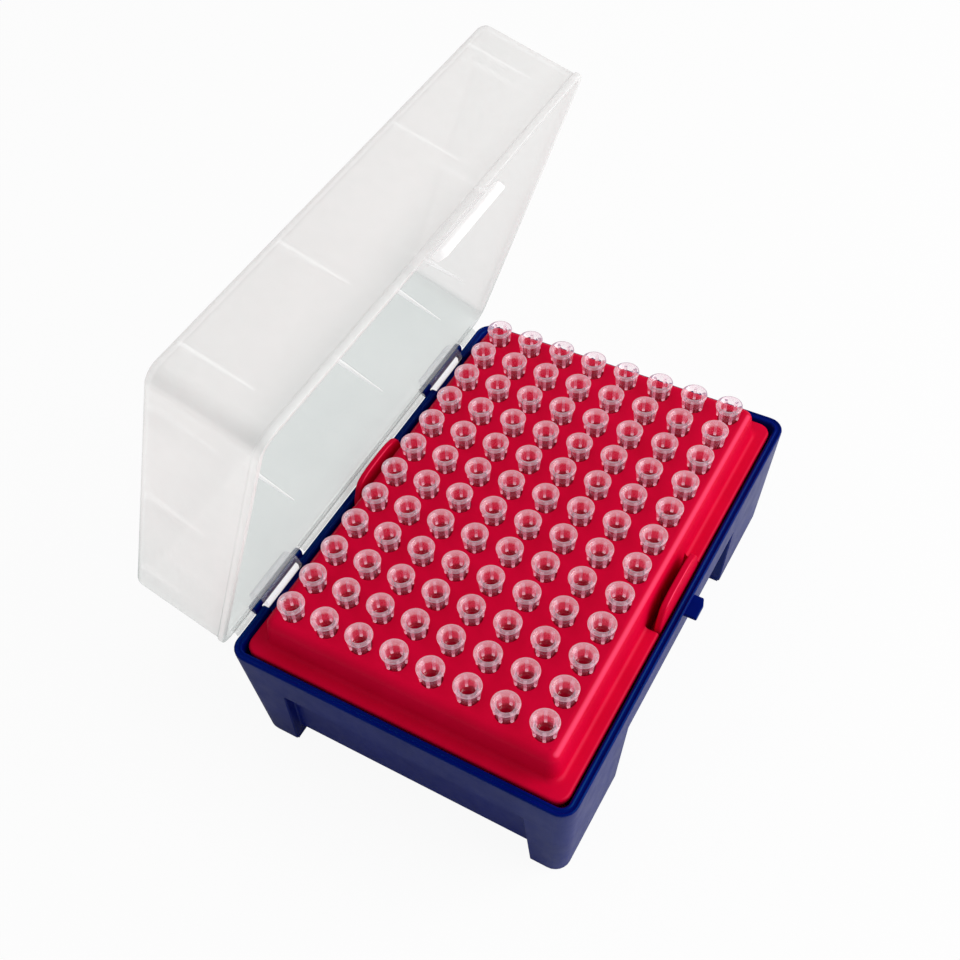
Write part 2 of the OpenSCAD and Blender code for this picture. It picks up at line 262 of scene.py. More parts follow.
def ramp(tree, source, low, high, at=(0.3, 0.7)):
    """Noise to colours or plain values between low and high."""
    r = node(tree, "ShaderNodeValToRGB")
    r.color_ramp.elements[0].position, r.color_ramp.elements[1].position = at
    r.color_ramp.elements[0].color = (*low, 1) if isinstance(low, tuple) else (low, low, low, 1)
    r.color_ramp.elements[1].color = (*high, 1) if isinstance(high, tuple) else (high, high, high, 1)
    link(tree, source, "Fac", r, "Fac")
    return r


# Painted highlight on the crimson: the way that the deck's front edge faces in the middle of its round, where
# the key lamp's highlight falls, and the heights over which the highlight is painted, in metres
HIGHLIGHT_WAY, HIGHLIGHT_START = (-0.11, -0.60, 0.79), 0.93
HIGHLIGHT_LOW, HIGHLIGHT_HIGH = 0.036, 0.039


def moulded(name, dark, light, rough, bump_scale, bump_depth, specular, shine_tint=(1, 1, 1), edge=None):
    """Opaque moulded plastic: a faint cloudiness of colour and gloss, and the fine texture of its mould.
    edge is a painted highlight: a paler colour on an edge rounded towards the front, where the key lamp's
    highlight falls."""
    mat, tree = new_material(name)
    out = node(tree, "ShaderNodeOutputMaterial")
    body = node(tree, "ShaderNodeBsdfPrincipled")
    body.inputs["Specular IOR Level"].default_value = specular
    body.inputs["Specular Tint"].default_value = (*shine_tint, 1)
    body.inputs["IOR"].default_value = 1.49
    clouds = grain(tree, 90, 4)
    colour = ramp(tree, clouds, dark, light)
    link(tree, colour, "Color", body, "Base Color")
    # Painted highlight: a paler colour on faces that turn towards the key lamp's highlight, high on the
    # deck's edge.
    if edge:
        along = facing_along(tree, HIGHLIGHT_WAY, HIGHLIGHT_START)
        high = mapped(tree, position(tree), "Z", HIGHLIGHT_LOW, HIGHLIGHT_HIGH, 0.2, 1.0)
        painted_highlight = two_colours(tree, product(tree, along, high), colour.outputs["Color"], edge)
        tree.links.new(painted_highlight, body.inputs["Base Color"])
    gloss = ramp(tree, grain(tree, 240, 3), *rough)
    link(tree, gloss, "Color", body, "Roughness")
    fine = grain(tree, bump_scale, 2)
    bump = node(tree, "ShaderNodeBump")
    bump.inputs["Strength"].default_value = 1.0
    bump.inputs["Distance"].default_value = bump_depth * MM
    link(tree, fine, "Fac", bump, "Height")
    link(tree, bump, "Normal", body, "Normal")
    link(tree, body, "BSDF", out, "Surface")
    return mat


def rippled(tree, scale, depth):
    """A slight unevenness of a moulded face; depth is in millimetres."""
    bump = node(tree, "ShaderNodeBump")
    bump.inputs["Strength"].default_value = 1.0
    bump.inputs["Distance"].default_value = depth * MM
    link(tree, grain(tree, scale, 1), "Fac", bump, "Height")
    return bump


def flagged(tree, *rays):
    """1 for the rays named, such as Is Camera Ray, and 0 for the others."""
    path = node(tree, "ShaderNodeLightPath")
    total = None
    for ray in rays:
        larger = node(tree, "ShaderNodeMath", operation="MAXIMUM")
        larger.inputs[1].default_value = 0.0
        link(tree, path, ray, larger, 0)
        if total:
            link(tree, total, 0, larger, 1)
        total = larger
    return total


def mixed(tree, share, first, second):
    """Goes from the first shader to the second with the share."""
    mix = node(tree, "ShaderNodeMixShader")
    link(tree, share, 0, mix, "Fac")
    link(tree, first, 0, mix, 1)
    link(tree, second, 0, mix, 2)
    return mix


def lets_light_through(tree, shader, out, clear_colour):
    """Shadow and diffuse rays pass straight through instead of meeting the plastic."""
    clear = node(tree, "ShaderNodeBsdfTransparent")
    clear.inputs["Color"].default_value = (*clear_colour, 1)
    passing = flagged(tree, "Is Shadow Ray", "Is Diffuse Ray")
    link(tree, mixed(tree, passing, shader, clear), "Shader", out, "Surface")


def facing_along(tree, axis, start=0.85):
    """1 where a face looks along the axis, either way, down to 0 where the cosine between them is start."""
    coords = node(tree, "ShaderNodeTexCoord")
    dot = node(tree, "ShaderNodeVectorMath", operation="DOT_PRODUCT")
    dot.inputs[1].default_value = axis
    link(tree, coords, "Normal", dot, 0)
    size = node(tree, "ShaderNodeMath", operation="ABSOLUTE")
    link(tree, dot, "Value", size, 0)
    return mapped(tree, size, "Value", start, 1.0, 0.0, 1.0)


def position(tree):
    """Where a point of the piece lies at rest in the row frame, in metres, as X, Y and Z."""
    coords = node(tree, "ShaderNodeTexCoord")
    place = node(tree, "ShaderNodeSeparateXYZ")
    link(tree, coords, "Object", place, "Vector")
    return place


def mapped(tree, source, output, low, high, to_low, to_high):
    """Takes a node's output from between low and high to between to_low and to_high."""
    change = node(tree, "ShaderNodeMapRange")
    change.inputs["From Min"].default_value = low
    change.inputs["From Max"].default_value = high
    change.inputs["To Min"].default_value = to_low
    change.inputs["To Max"].default_value = to_high
    link(tree, source, output, change, "Value")
    return change


def summed(tree, first, *others):
    """The sum of the nodes' first outputs."""
    for other in others:
        total = node(tree, "ShaderNodeMath", operation="ADD")
        link(tree, first, 0, total, 0)
        link(tree, other, 0, total, 1)
        first = total
    return first


def product(tree, first, second):
    """The product of the nodes' first outputs."""
    both = node(tree, "ShaderNodeMath", operation="MULTIPLY")
    link(tree, first, 0, both, 0)
    link(tree, second, 0, both, 1)
    return both


def two_colours(tree, share, first, second):
    """A colour that goes from the first to the second with the share. The first may be a node's output."""
    mix = node(tree, "ShaderNodeMix", data_type="RGBA")
    colour_a, colour_b = mix.inputs[6], mix.inputs[7]
    if isinstance(first, tuple):
        colour_a.default_value = (*first, 1)
    else:
        tree.links.new(first, colour_a)
    colour_b.default_value = (*second, 1)
    link(tree, share, 0, mix, 0)
    return mix.outputs[2]


def seen_aslant(tree, blend):
    """A node whose Facing output is 0 where a face is seen square on and 1 where it is seen edge on."""
    tilt = node(tree, "ShaderNodeLayerWeight")
    tilt.inputs["Blend"].default_value = blend
    return tilt


def milk_shader(tree, colour, spread_through, glow=0.0):
    """What the plastic's milkiness scatters: part back to the viewer and part on through the wall.
    Gives the mix and its two shaders."""
    front = node(tree, "ShaderNodeBsdfPrincipled")
    front.inputs["Base Color"].default_value = (*colour, 1)
    front.inputs["Roughness"].default_value = 0.4
    # Painted glow: with glow the milk gives off light of its own, though it is no lamp.
    front.inputs["Emission Color"].default_value = (1, 1, 1, 1)
    front.inputs["Emission Strength"].default_value = glow
    back = node(tree, "ShaderNodeBsdfTranslucent")
    back.inputs["Color"].default_value = (*colour, 1)
    both = node(tree, "ShaderNodeMixShader")
    both.inputs["Fac"].default_value = spread_through
    link(tree, front, "BSDF", both, 1)
    link(tree, back, "BSDF", both, 2)
    return both, front, back


def coat(tree, body, gloss, least, most, ripple):
    """A thin shine over the body, stronger where it is seen aslant."""
    shine = node(tree, "ShaderNodeBsdfGlossy")
    shine.inputs["Roughness"].default_value = gloss
    steep = node(tree, "ShaderNodeMath", operation="POWER")
    steep.inputs[1].default_value = 4.0
    link(tree, seen_aslant(tree, 0.5), "Facing", steep, 0)
    share = mapped(tree, steep, "Value", 0.0, 1.0, least, most)
    link(tree, rippled(tree, 130, ripple), "Normal", shine, "Normal")
    return mixed(tree, share, body, shine)


# Painted shade on the lid: its milk is painted darker below the second height and darkest at the first, in
# metres above the ground
SHADE_FROM, SHADE_TO = 0.042, 0.085
# The milk of the lid's ends, with its painted glow, fades from the -X end to the +X end, down to this share
END_X, FAR_SHARE = 0.03, 0.45


def lid_material(name, through, milk, shaded_milk, haze, edge_haze, glow, low_haze=0.0, end_haze=0.0):
    """Thin milky plastic seen straight through. Its milk is painted darker low down, near the hinge, but not
    at the ends, as painted shade;
    it has a painted glow that is stronger at the near end, and it grows denser where it is seen edge on."""
    mat, tree = new_material(name)
    out = node(tree, "ShaderNodeOutputMaterial")
    place = position(tree)
    ends = facing_along(tree, (1.0, 0.0, 0.0))
    sides = mapped(tree, ends, "Result", 0.0, 1.0, 1.0, 0.0)
    # Painted shade: this mask darkens the milk low down on the sides, near the hinge.
    low = product(tree, mapped(tree, place, "Z", SHADE_FROM, SHADE_TO, 1.0, 0.0), sides)
    near_end = product(tree, ends, mapped(tree, place, "X", -END_X, END_X, 1.0, FAR_SHARE))
    both, front, back = milk_shader(tree, milk, 0.3)
    colour = two_colours(tree, low, milk, shaded_milk)
    tree.links.new(colour, front.inputs["Base Color"])
    tree.links.new(colour, back.inputs["Color"])
    link(tree, mapped(tree, near_end, "Value", 0.0, 1.0, 0.3, 0.8), "Result", both, "Fac")
    # Painted glow: the milk gives off white light, a little more at the near end.
    painted_glow = mapped(tree, near_end, "Value", 0.0, 1.0, glow, glow + 0.06)
    link(tree, painted_glow, "Result", front, "Emission Strength")
    share = summed(
        tree,
        ramp(tree, grain(tree, 45, 3), *haze),
        mapped(tree, seen_aslant(tree, 0.35), "Facing", 0.25, 1.0, 0.0, edge_haze),
        mapped(tree, ends, "Result", 0.0, 1.0, 0.0, end_haze),
        mapped(tree, low, "Value", 0.0, 1.0, 0.0, low_haze),
    )
    clear = node(tree, "ShaderNodeBsdfTransparent")
    clear.inputs["Color"].default_value = (*through, 1)
    body = mixed(tree, share, clear, both)
    lets_light_through(tree, coat(tree, body, 0.12, 0.02, 0.12, 0.01), out, (0.9, 0.9, 0.9))
    return mat


def above_deck(tree, place, low, high, to_low, to_high):
    """A value that changes between two heights above the deck, in millimetres."""
    return mapped(tree, place, "Z", (DECK_Z + low) * MM, (DECK_Z + high) * MM, to_low, to_high)


# Painted light in the tips' milk: red light from the tray, pink light from it in the ring, a dark red painted
# shade below the deck, and a white painted highlight at the ribs' feet.
LIT_RED, RING_PINK = (1.0, 0.42, 0.58), (1.0, 0.76, 0.88)
SHADED_RED, FOOT_HIGHLIGHT_WHITE = (0.5, 0.002, 0.025), (1.0, 0.93, 0.98)


def tip_colour(tree, place, deep):
    """The milk's colour by height, all painted light: deep below the deck, a painted shade for the tips and a
    painted highlight at the ribs' feet; painted red light from the tray above it; pink light from the tray in
    the ring.
    """
    colour = node(tree, "ShaderNodeValToRGB")
    stops = colour.color_ramp.elements
    stops[0].position, stops[1].position = 0.13, 0.83
    stops[0].color, stops[1].color = (*deep, 1), (*RING_PINK, 1)
    for at in (0.3, 0.67):
        stops.new(at).color = (*LIT_RED, 1)
    link(tree, above_deck(tree, place, -1.0, 4.4, 0.0, 1.0), "Result", colour, "Fac")
    return colour


def tip_material(name, haze, edge_haze, deep, glow, ring_haze, foot_haze=0.0, deep_haze=0.0):
    """Milky plastic that bends light a little, with a painted glow in the colours of its milk. Its milk is
    denser in the thick ring at the mouth, and with foot_haze at the ribs' feet, as a painted highlight; with
    deep_haze the part below the deck has milk too, as painted shade."""
    mat, tree = new_material(name)
    out = node(tree, "ShaderNodeOutputMaterial")
    place = position(tree)
    glass = node(tree, "ShaderNodeBsdfRefraction")
    glass.inputs["Color"].default_value = (0.995, 0.98, 0.985, 1)
    glass.inputs["Roughness"].default_value = 0.0
    glass.inputs["IOR"].default_value = 1.04
    both, front, back = milk_shader(tree, RING_PINK, 0.3, glow)
    colour = tip_colour(tree, place, deep)
    for shader, socket in ((front, "Base Color"), (front, "Emission Color"), (back, "Color")):
        link(tree, colour, "Color", shader, socket)
    above = summed(
        tree,
        ramp(tree, grain(tree, 300, 3), haze * 0.8, haze * 1.2),
        mapped(tree, seen_aslant(tree, 0.4), "Facing", 0.2, 1.0, 0.0, edge_haze),
        above_deck(tree, place, 3.2, 3.8, 0.0, ring_haze),
        above_deck(tree, place, 0.2, 0.7, foot_haze, 0.0),
    )
    above = product(tree, above, above_deck(tree, place, -0.3, 0.6, 0.0, 1.0))
    share = summed(tree, above, above_deck(tree, place, -0.5, 0.3, deep_haze, 0.0))
    body = mixed(tree, share, glass, both)
    lets_light_through(tree, coat(tree, body, 0.15, 0.05, 0.2, 0.004), out, (0.97, 0.95, 0.955))
    return mat


WHITE, LAVENDER = (1.0, 1.0, 1.0), (0.88, 0.90, 1.0)

navy = moulded(
    "navy_plastic", dark=(0.0003, 0.002, 0.13), light=(0.0005, 0.004, 0.16), rough=(0.32, 0.40),
    bump_scale=1500, bump_depth=0.012, specular=0.13, shine_tint=(0.06, 1.0, 0.9),
)
# The crimson's edge colour is a painted highlight along the deck's rounded front edge.
crimson = moulded(
    "crimson_plastic", dark=(0.66, 0.0004, 0.030), light=(0.74, 0.0006, 0.038), rough=(0.42, 0.52),
    bump_scale=2300, bump_depth=0.02, specular=0.04, edge=(0.98, 0.06, 0.15),
)
# Painted light in the lid's plastics: the darker milk low down is painted shade, and each glow is a painted
# glow.
lid_clear = lid_material(
    "lid_plastic", through=(0.99, 0.992, 0.99), milk=(0.96, 0.965, 0.955), shaded_milk=(0.50, 0.565, 0.55),
    haze=(0.38, 0.44), edge_haze=0.3, glow=0.12, low_haze=-0.08, end_haze=0.06,
)
# The ribs' white milk and strong glow are a painted highlight that keeps them pale.
lid_rib = lid_material(
    "lid_rib_plastic", through=(0.99, 0.992, 0.99), milk=WHITE, shaded_milk=(0.8, 0.8, 0.8),
    haze=(0.55, 0.65), edge_haze=0.1, glow=0.5,
)
tongue_clear = lid_material(
    "tongue_plastic", through=(0.995, 0.995, 0.995), milk=WHITE, shaded_milk=WHITE,
    haze=(0.08, 0.12), edge_haze=0.3, glow=0.35,
)
clip_clear = lid_material(
    "clip_plastic", through=(0.985, 0.98, 0.99), milk=LAVENDER, shaded_milk=LAVENDER,
    haze=(0.05, 0.08), edge_haze=0.5, glow=0.2,
)
# The tips' milk glows with painted light, and the ribs' white feet are a painted highlight.
tip_clear = tip_material(
    "tip_plastic", haze=0.025, edge_haze=0.16, deep=SHADED_RED, glow=0.45, ring_haze=0.24, deep_haze=0.25,
)
tip_rib_clear = tip_material(
    "tip_rib_plastic", haze=0.10, edge_haze=0.2, deep=FOOT_HIGHLIGHT_WHITE, glow=0.7, ring_haze=0.06, foot_haze=0.9,
)


# ---------------------------------------------------------------- base

def lean_at(z, full=LEAN):
    return full * (RIM_Z - z) / RIM_Z


# Where the side of a panel steps in: distance from the edge of the gap, and how far in, as a share
STEP = ((0.45, 0.0), (0.2, 0.12), (-0.12, 0.88), (-0.45, 1.0))


def panel_marks(half, shift, narrow):
    """Where a side's row of points steps into its panel, with the share of the step at each."""
    return {
        round(sign * (half - narrow + off) + shift, 4): share
        for off, share in STEP
        for sign in (-1, 1)
    }


def base_row(z, z_panel=None, deep=0.0, inset=0.0):
    """One row of points round the base. Between the feet it lies at z_panel and, by a share of deep,
    in the recess."""
    z_panel = z if z_panel is None else z_panel
    narrow = GAP_NARROWS * min(z, BAND_Z) / BAND_Z
    along_x = panel_marks(GAP_X, 0.0, narrow)
    along_y = panel_marks(GAP_Y, GAP_SHIFT, narrow)
    xs = list(along_x) + [s * HINGE_X + e * EAR_GAP / 2 for s in (-1, 1) for e in (-1, 1)]
    front, back = RIM_Y - lean_at(z) - inset, RIM_Y - lean_at(z, BACK_LEAN) - inset
    hx, hy, mid = RIM_X - lean_at(z) - inset, (front + back) / 2, (back - front) / 2
    radius = max(0.3, FOOT_R + (RIM_R - FOOT_R) * z / RIM_Z - inset)
    row = []
    for x, y, _ in outline(hx, hy, radius, z, xs, [v - mid for v in along_y]):
        on_y = abs(abs(y) - hy) < 1e-6
        y += mid
        share = along_x.get(round(x, 4), 0.0) if on_y else along_y.get(round(y, 4), 0.0)
        pz = z + (z_panel - z) * share
        full = BACK_LEAN if on_y and y > 0 else LEAN
        into = PANEL_IN * deep * share + lean_at(pz, full) - lean_at(z, full)
        if share and on_y:
            y -= math.copysign(into, y)
        elif share:
            x -= math.copysign(into, x)
        row.append((x, y, pz))
    return row


def notch_segments(row):
    """The strips of a row that lie over the clips, on the hinge side."""
    found = []
    for i, (a, b) in enumerate(zip(row, row[1:] + row[:1])):
        mid = (a[0] + b[0]) / 2
        if a[1] > 30 and b[1] > 30 and abs(abs(mid) - HINGE_X) < EAR_GAP / 2:
            found.append(i)
    return set(found)


# The rim from its inside over its top with the fine bead: inset from the outer face, height below the rim
RIM_ROWS = (
    (2.15, 9.0), (2.15, 0.75), (2.10, 0.42), (1.98, 0.18), (1.82, 0.04), (1.64, 0.0), (1.50, 0.03),
    (1.38, 0.13), (1.26, 0.22), (1.0, 0.24), (0.78, 0.22), (0.66, 0.12), (0.54, 0.02), (0.42, 0.0),
    (0.24, 0.06), (0.10, 0.2), (0.02, 0.42), (0.0, 0.7),
)
# Where the panels step in under the band: height over the band's edge, share of the recess
BAND_ROWS = ((0.5, 0.0), (0.25, 0.0), (0.1, 0.06), (0.0, 0.25), (-0.05, 0.9), (-0.3, 1.0))
# The wall's foot, and its inside up to the floor: height, inset
FOOT_ROWS = ((0.5, 0.0), (0.15, 0.12), (0.0, 0.45), (0.0, 2.0), (1.0, 2.0))


def base_piece():
    """The base's shell: its rim, its walls with the panels between the feet, and its floor."""
    b = Build()
    rows = [base_row(RIM_Z - drop, inset=inset) for inset, drop in RIM_ROWS]
    rows.append(base_row(NOTCH_Z))
    gone = notch_segments(rows[0])
    b.rows(rows, keep=lambda i: i not in gone)
    rows = [base_row(NOTCH_Z)] + [base_row(BAND_Z + up, deep=deep) for up, deep in BAND_ROWS]
    for t in (0.66, 0.33, 0.12, 0.05):
        rows.append(base_row(t * BAND_Z, PANEL_Z + t * (BAND_Z - PANEL_Z), 1.0))
    rows += [base_row(z, PANEL_Z + z, 1.0, inset) for z, inset in FOOT_ROWS]
    b.rows(rows)
    close_notches(b)
    under = [(-UNDER_X, UNDER_FRONT), (UNDER_X, UNDER_FRONT), (UNDER_X, UNDER_BACK), (-UNDER_X, UNDER_BACK)]
    b.face(*reversed(b.add([(x, y, PANEL_Z + 0.1) for x, y in under])))
    b.face(*b.add([(x, y, PANEL_Z + 1.5) for x, y in under]))
    return b


def close_notches(b):
    """Floors and ends of the notches that the clips turn in."""
    outer = RIM_Y - lean_at(NOTCH_Z)
    end = [
        (NOTCH_Y, NOTCH_Z), (outer, NOTCH_Z), (RIM_Y - 0.1, RIM_Z - 0.3), (RIM_Y - 0.4, RIM_Z),
        (NOTCH_Y + 0.3, RIM_Z), (NOTCH_Y, RIM_Z - 0.4),
    ]
    for s in (-1, 1):
        x0, x1 = s * HINGE_X - EAR_GAP / 2, s * HINGE_X + EAR_GAP / 2
        floor = [(x0, outer), (x0, NOTCH_Y), (x1, NOTCH_Y), (x1, outer)]
        b.face(*b.add([(x, y, NOTCH_Z) for x, y in floor]))
        for x in (x0, x1):
            b.face(*b.add([(x, y, z) for y, z in end]))


def foot_blocks():
    """The soles of the feet and their sides next to the gaps."""
    b = Build()
    x0, x1 = GAP_X + 0.1, RIM_X - LEAN - 0.4
    for sx in (-1, 1):
        for sy, lean in ((-1, LEAN), (1, BACK_LEAN)):
            y0, y1 = GAP_Y + sy * GAP_SHIFT + 0.1, RIM_Y - lean - 0.4
            low = [
                (x0, y0), (x1 - 2.5, y0), (x1, y0), (x1, y1 - 2.5), (x1 - 1.0, y1 - 1.0),
                (x1 - 2.5, y1), (x0, y1),
            ]
            ring = [(sx * x, sy * y) for x, y in low]
            if sx * sy < 0:
                ring.reverse()
            a = b.add([(x, y, 0.02) for x, y in ring])
            c = b.add([(x, y, PANEL_Z + 0.4) for x, y in ring])
            b.face(*reversed(a))
            b.face(*c)
            b.strip(a, c)
    return b


def hinge_ears():
    """The four ears that hold the pins, two to a hinge station."""
    b = Build()
    nose = [on_circle(PIN_Y, PIN_Z + 0.1, PIN_R, math.radians(a)) for a in range(0, 181, 20)]
    outside = [(42.0, 29.3), (43.2, 29.3), (43.6, 31.6), (PIN_Y + PIN_R - 0.2, 32.8)]
    inside = [(PIN_Y - PIN_R, RIM_Z - 0.5), (42.0, RIM_Z - 0.5)]
    for s in (-1, 1):
        for side in (-1, 1):
            x = s * HINGE_X + side * (EAR_GAP + EAR_T) / 2
            b.grow(prism(outside + nose + inside, x - EAR_T / 2, x + EAR_T / 2))
    return b


def hinge_pins():
    b = Build()
    reach = EAR_GAP / 2 + 0.5
    for s in (-1, 1):
        b.grow(tube(PIN_Y, PIN_Z, PIN_R, s * HINGE_X - reach, s * HINGE_X + reach, 40))
    return b


def catch_piece():
    """A thin block with one corner cut off in plan."""
    b = Build()
    root, tip, half = -(RIM_Y - 1.0), -(RIM_Y + 2.8), 3.1
    plan = [(-half, root), (-half, tip), (half - 2.1, tip), (half, tip + 0.7), (half, root)]
    low = b.add([(x, y, 30.6) for x, y in plan])
    top = b.add([(x, y, 31.6) for x, y in plan])
    b.face(*reversed(low))
    b.face(*top)
    b.strip(low, top)
    return b


base_piece().object("base_shell", navy, "box", "base_plastic", ("base",))
foot_blocks().object("base_feet", navy, "box", "base_plastic")
bevel(hinge_ears().object("hinge_ears", navy, "box", "base_plastic"), 0.25)
hinge_pins().object("hinge_pins", navy, "box", "base_plastic")
bevel(catch_piece().object("latch_catch", navy, "box", "base_plastic"), 0.3)


# ---------------------------------------------------------------- tray

def tip_centre(column, row):
    return (column - (COLUMNS - 1) / 2) * PITCH, (row - (ROWS - 1) / 2) * PITCH


def tray_row(half_x, half_y, radius, z):
    return outline(half_x, half_y, radius, z, xs=(-SLOT_X, SLOT_X))


def slot_segments(row):
    """The strips of a row that lie over the slots of the finger tabs."""
    found = []
    for i, (a, b) in enumerate(zip(row, row[1:] + row[:1])):
        if abs(a[1] - b[1]) < 1e-6 and max(abs(a[0]), abs(b[0])) <= SLOT_X + 1e-6:
            found.append(i)
    return set(found)


def deck_rows():
    """The deck from the flat of its top, over its rounded edge and down its wall."""
    rows = [tray_row(FLAT_X, FLAT_Y, 0.3, DECK_Z)]
    for inset, drop in reversed(quarter(DECK_EDGE)):
        rows.append(tray_row(DECK_X - 0.15 - inset, DECK_Y - 0.2 - inset, 2.7 - inset, DECK_Z - drop))
    rows.append(tray_row(WALL_X, WALL_Y, WALL_R, FLANGE_Z + FILLET))
    return rows


def flange_rows():
    """The flange from the foot of the deck's wall, over its own edge and down the skirt."""
    rows = [tray_row(WALL_X, WALL_Y, WALL_R, FLANGE_Z + FILLET)]
    for out, up in quarter(FILLET)[1:]:
        rows.append(tray_row(WALL_X + out, WALL_Y + out, WALL_R + 0.2 * out, FLANGE_Z + up))
    for drop, inset in quarter(FLANGE_EDGE):
        rows.append(tray_row(FLANGE_X - inset, FLANGE_Y - inset, FLANGE_R - inset, FLANGE_Z - drop))
    rows.append(tray_row(FLANGE_X, FLANGE_Y, FLANGE_R, FLANGE_Z - FLANGE_T))
    rows.append(tray_row(SKIRT_X + 0.1, SKIRT_Y + 0.1, SKIRT_R, FLANGE_Z - FLANGE_T))
    rows.append(tray_row(SKIRT_X, SKIRT_Y, SKIRT_R, SKIRT_Z))
    return rows


def slot_walls(b, flange, gone):
    """Backs, floors and ends of the slots that the finger tabs stand in."""
    low, top = FLANGE_Z - SLOT_DEEP, FLANGE_Z + FILLET
    profile = [(abs(row[min(gone)][1]), row[0][2]) for row in flange][:-2]
    end = profile + [(SKIRT_Y + 0.1, low), (WALL_Y, low)]
    for sy in (-1, 1):
        for corners in (((WALL_Y, top), (WALL_Y, low)), ((WALL_Y, low), (FLANGE_Y, low))):
            (y0, z0), (y1, z1) = corners
            face = [(-SLOT_X, y0, z0), (SLOT_X, y0, z0), (SLOT_X, y1, z1), (-SLOT_X, y1, z1)]
            b.face(*b.add([(x, sy * y, z) for x, y, z in face]))
        for x in (-SLOT_X, SLOT_X):
            b.face(*b.add([(x, sy * y, z) for y, z in end]))


def tray_piece():
    """The tray's shell: its deck, its flange and its skirt."""
    b = Build()
    deck_cells(b)
    b.rows(deck_rows())
    flange = flange_rows()
    gone = slot_segments(flange[0])
    b.rows(flange, keep=lambda i: i not in gone)
    slot_walls(b, flange, gone)
    return b


# A hole from its rounded edge down its wall: radius, height above the deck
HOLE_ROWS = (
    (HOLE_R + 0.25, 0.0), (HOLE_R + 0.09, -0.06), (HOLE_R, -0.25), (HOLE_R, -1.6), (HOLE_R, -6.0),
)


def deck_cells(b):
    """The deck's top, one cell to a tip, each with its hole and the hole's wall."""
    xs = [-FLAT_X] + [PITCH * (c - (COLUMNS - 2) / 2) for c in range(COLUMNS - 1)] + [FLAT_X]
    ys = [-FLAT_Y] + [PITCH * (r - (ROWS - 2) / 2) for r in range(ROWS - 1)] + [FLAT_Y]
    for column in range(COLUMNS):
        for row in range(ROWS):
            deck_cell(b, tip_centre(column, row), xs[column:column + 2], ys[row:row + 2])


def deck_cell(b, centre, xs, ys, around=32):
    """A square of the deck between xs and ys, with a round hole at its centre."""
    cx, cy = centre
    square, rings = [], [[] for _ in HOLE_ROWS]
    for k in range(around):
        a = 2 * math.pi * (k + 0.5) / around
        dx, dy = math.cos(a), math.sin(a)
        reach = min((xs[dx > 0] - cx) / dx, (ys[dy > 0] - cy) / dy)
        square.append((cx + dx * reach, cy + dy * reach, DECK_Z))
        for ring, (r, z) in zip(rings, HOLE_ROWS):
            ring.append((cx + dx * r, cy + dy * r, DECK_Z + z))
    b.rows([square] + rings)
    for x, y in ((xs[1], ys[1]), (xs[0], ys[1]), (xs[0], ys[0]), (xs[1], ys[0])):
        nearest = sorted(square, key=lambda p: (p[0] - x) ** 2 + (p[1] - y) ** 2)
        b.face(*b.add([nearest[0], (x, y, DECK_Z), nearest[1]]))


def tab_piece(sy):
    """A finger tab with an arched top, on the side sy of the tray."""
    h, z = TAB_HALF, FLANGE_Z
    half = [
        (h, z - 7.6), (h, z - 0.2), (h - 0.35, z + 1.4), (9.75, z + 3.2), (9.3, z + 4.5), (8.8, z + 5.25),
        (8.1, z + 5.8), (7.2, z + 6.2), (6.0, z + 6.5), (4.4, z + 6.75), (2.2, z + 6.85),
    ]
    points = half + [(-x, y) for x, y in reversed(half)]
    y0, y1 = sy * (FLANGE_Y - TAB_T), sy * FLANGE_Y
    b = Build()
    a = b.add([(x, y0, zz) for x, zz in points])
    c = b.add([(x, y1, zz) for x, zz in points])
    b.face(*a)
    b.face(*reversed(c))
    b.strip(a, c)
    return b


tray_piece().object("tray_shell", crimson, "box", "tray_plastic", ("tray",))
for sy, name in ((-1, "front_tab"), (1, "back_tab")):
    bevel(tab_piece(sy).object(name, crimson, "box", "tray_plastic"), 0.45, 4, 40)


# ---------------------------------------------------------------- lid

def lid_row(inset, z):
    """A row round the shut lid; inset is from the wall's outer face at the rim."""
    up = (z - LID_Z) / LID_H
    half_x, half_y = LID_X - inset - LID_END_LEAN * up, LID_Y - inset - LID_LEAN * up
    near, far, step = HINGE_X - STATION, HINGE_X + STATION, 0.15
    xs = [side * x for side in (-1, 1) for x in (near - step, near, far, far + step)]
    row = []
    for x, y, _ in outline(half_x, half_y, max(0.4, LID_R - inset), z, xs=xs, steps=8):
        if near <= abs(x) <= far and y > 0:
            y = min(y, LID_Y)
        row.append((x, y, z))
    return row


# The band along the lid's rim, from the wall's inside round to its outside: inset, height
LID_ROWS = (
    (LID_T, 3.0), (LID_T, 0.3), (LID_T - 0.1, 0.08), (LID_T - 0.3, 0.0), (0.3 - BAND_OUT, 0.0),
    (0.08 - BAND_OUT, 0.08), (-BAND_OUT, 0.3), (-BAND_OUT, BAND_H - 0.2), (0.1 - BAND_OUT, BAND_H),
    (-0.12, BAND_H + 0.12), (0.0, BAND_H + 0.35), (0.0, 6.0),
)
LID_INNER_EDGE = 1.1


def lid_shell():
    """The lid's walls and top, from the middle of its inside round the rim to the middle of its outside."""
    b = Build()
    top = LID_Z + LID_H
    rows = []
    for inset, drop in reversed(quarter(LID_INNER_EDGE)):
        rows.append(lid_row(LID_T + inset, top - LID_T - drop))
    rows += [lid_row(inset, LID_Z + z) for inset, z in LID_ROWS]
    rows += [lid_row(inset, top - drop) for inset, drop in quarter(LID_EDGE)]
    made = b.rows(rows)
    b.face(*made[0])
    b.face(*made[-1])
    return b


